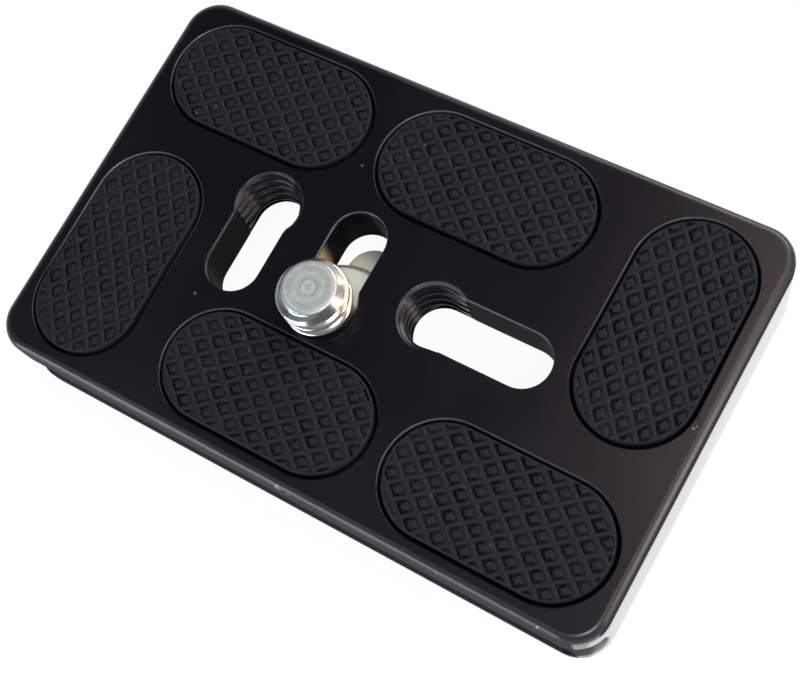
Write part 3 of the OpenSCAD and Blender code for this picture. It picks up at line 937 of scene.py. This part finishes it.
eye_profile = [(0.68, -2.6), (1.02, -2.6), (1.1, -2.52), (1.1, 2.52),
               (1.02, 2.6), (0.68, 2.6), (0.65, 2.55), (0.65, -2.55)]
eye = ring_shell((0, 0), eye_profile, 48)
eye.points = along_x(eye.points)
blade = Shell()
HANDLE_W, HANDLE_T, BLADE_START, BLADE_END, BLADE_EASE = 5.2, 1.6, 0.72, 8.7, 0.3


def blade_outline(inset):
    r = HANDLE_W / 2 - inset
    middle, start_y = BLADE_END - HANDLE_W / 2, BLADE_START + 0.3 * inset
    arc = [(r * math.cos(a), middle + r * math.sin(a)) for a in np.linspace(0, math.pi, 37)]
    return [(-r, start_y), (r, start_y)] + arc


half_steps = [(BLADE_EASE * (1 - math.cos(a)), HANDLE_T / 2 - BLADE_EASE * (1 - math.sin(a)))
              for a in np.linspace(0, math.pi / 2, 6)]
blade_steps = [(inset, -z) for inset, z in reversed(half_steps)] + half_steps
blade_loops = [blade.loop([(SCREW_AXIS[0] + x, SCREW_AXIS[1] + y, PIN_Z + z) for x, y in blade_outline(inset)])
               for inset, z in blade_steps]
blade.tower(blade_loops)
blade.cap(blade_loops[0], up=False)
blade.cap(blade_loops[-1], up=True)
blade.join(eye)
handle = blade.object("screw_handle_key", stamped, 40)
weighted(handle)
install(handle, "handle", "handle_steel", "screw_handle")

# %% [markdown]
# ## Floor and world
# The photograph is a product picture on pure white. The floor glows white to the camera and in reflections,
# and is a plain surface to the lamps, so it keeps a soft shadow under the plate. It is clear from below, so
# that views from under the plate aren't blocked. The camera sees a plain white world too, but what lights
# the plate and shows in its reflections is a studio: a sky that is bright low down and dark higher up, a
# bluish glow high in front, and a warm bright patch high at the back, which puts a soft sheen on the top.

# %% Floor and world
HALF_FLOOR, FLOOR_DROP = 900.0, 0.02
floor_shell = Shell()
corners = [(-HALF_FLOOR, -HALF_FLOOR, 0), (HALF_FLOOR, -HALF_FLOOR, 0),
           (HALF_FLOOR, HALF_FLOOR, 0), (-HALF_FLOOR, HALF_FLOOR, 0)]
floor_shell.cap(floor_shell.loop(corners), up=True)
white_floor = bpy.data.materials.new("white_floor")
white_floor.use_nodes = True
white_floor.node_tree.nodes.clear()
start = Wire(white_floor.node_tree)


def ray_is(start, kind):
    """1 for a ray of this kind: Camera, Glossy or Transmission."""
    ray = start.tree.nodes.new("ShaderNodeLightPath")
    return Wire(start.tree, ray.outputs[f"Is {kind} Ray"])


seen = most(most(ray_is(start, "Camera"), ray_is(start, "Glossy")), ray_is(start, "Transmission"))
glow = start.node("ShaderNodeEmission", {}, {"Color": (1, 1, 1, 1), "Strength": 1.0})
plain = start.node("ShaderNodeBsdfDiffuse", {}, {"Color": (0.9, 0.9, 0.9, 1)})
blend = start.node("ShaderNodeMixShader", {}, {0: seen * 0.95, 1: plain, 2: glow})
from_below = start.node("ShaderNodeNewGeometry", {}, {}, out=6)
clear = start.node("ShaderNodeBsdfTransparent", {}, {})
one_sided = start.node("ShaderNodeMixShader", {}, {0: from_below, 1: blend, 2: clear})
start.node("ShaderNodeOutputMaterial", {}, {"Surface": one_sided})
floor = floor_shell.object("floor", white_floor)
floor.location.z = -FLOOR_DROP * MM

COOL_SKY, WARM_OVERHEAD, WHITE = (0.74, 0.87, 1.0, 1), (1.0, 0.74, 0.64, 1), (1, 1, 1, 1)
world = bpy.data.worlds.new("studio")
scene.world = world
world.use_nodes = True
world.node_tree.nodes.clear()
start = Wire(world.node_tree)
to_right, to_back, up = start.node("ShaderNodeTexCoord", {}, {}, out=0).split()
ceiling = up.smooth(0.05, 0.6, 0.9, 0.05)
front_glow = to_back.smooth(0.18, -0.08) * up.smooth(0.45, 0.85)
overhead = to_right.smooth(-0.19, -0.07) * to_back.smooth(0.09, 0.20) * up.smooth(0.3, 0.6)
to_camera = ray_is(start, "Camera")
level = (ceiling + front_glow * 0.6 + overhead * 3.5) * (1 - to_camera) + to_camera
tint = mix_colours(start, overhead, COOL_SKY, WARM_OVERHEAD)
tint = mix_colours(start, to_camera, tint, WHITE)
sky = start.node("ShaderNodeBackground", {}, {"Color": tint, "Strength": level})
start.node("ShaderNodeOutputWorld", {}, {"Surface": sky})
print("floor nodes:", len(white_floor.node_tree.nodes), "world nodes:", len(world.node_tree.nodes))

# %% [markdown]
# ## Lamps
# The lamps are large and soft, as softboxes are. One at the back draws the light line along the rims, a cool
# one low in front lights the dovetail's groove, one beside the camera reaches the bottoms of the slots, and
# a weak warm one fills the right end. Each is turned towards a point just over the plate's bottom.

# %% Lamps
LAMPS_AIM = Vector((0, 0, 5))  # in mm


def softbox(name, place_mm, size_mm, power, tint):
    data = bpy.data.lights.new(name, "AREA")
    data.shape = "RECTANGLE"
    data.size, data.size_y = (s * MM for s in size_mm)
    data.energy, data.color = power, tint
    lamp = bpy.data.objects.new(name, data)
    lamp.location = Vector(place_mm) * MM
    lamp.rotation_euler = (Vector(place_mm) - LAMPS_AIM).to_track_quat("Z", "Y").to_euler()
    scene.collection.objects.link(lamp)


softbox("back_softbox", (60, 380, 160), (300, 120), 0.8, (1, 1, 1))
softbox("front_strip", (-110, -300, 78), (280, 170), 1.2, (0.66, 0.81, 1.0))
softbox("near_camera", (150, -90, 420), (120, 120), 0.9, (1.0, 0.98, 0.95))
softbox("right_strip", (330, 60, 120), (90, 260), 0.6, (1.0, 0.93, 0.86))
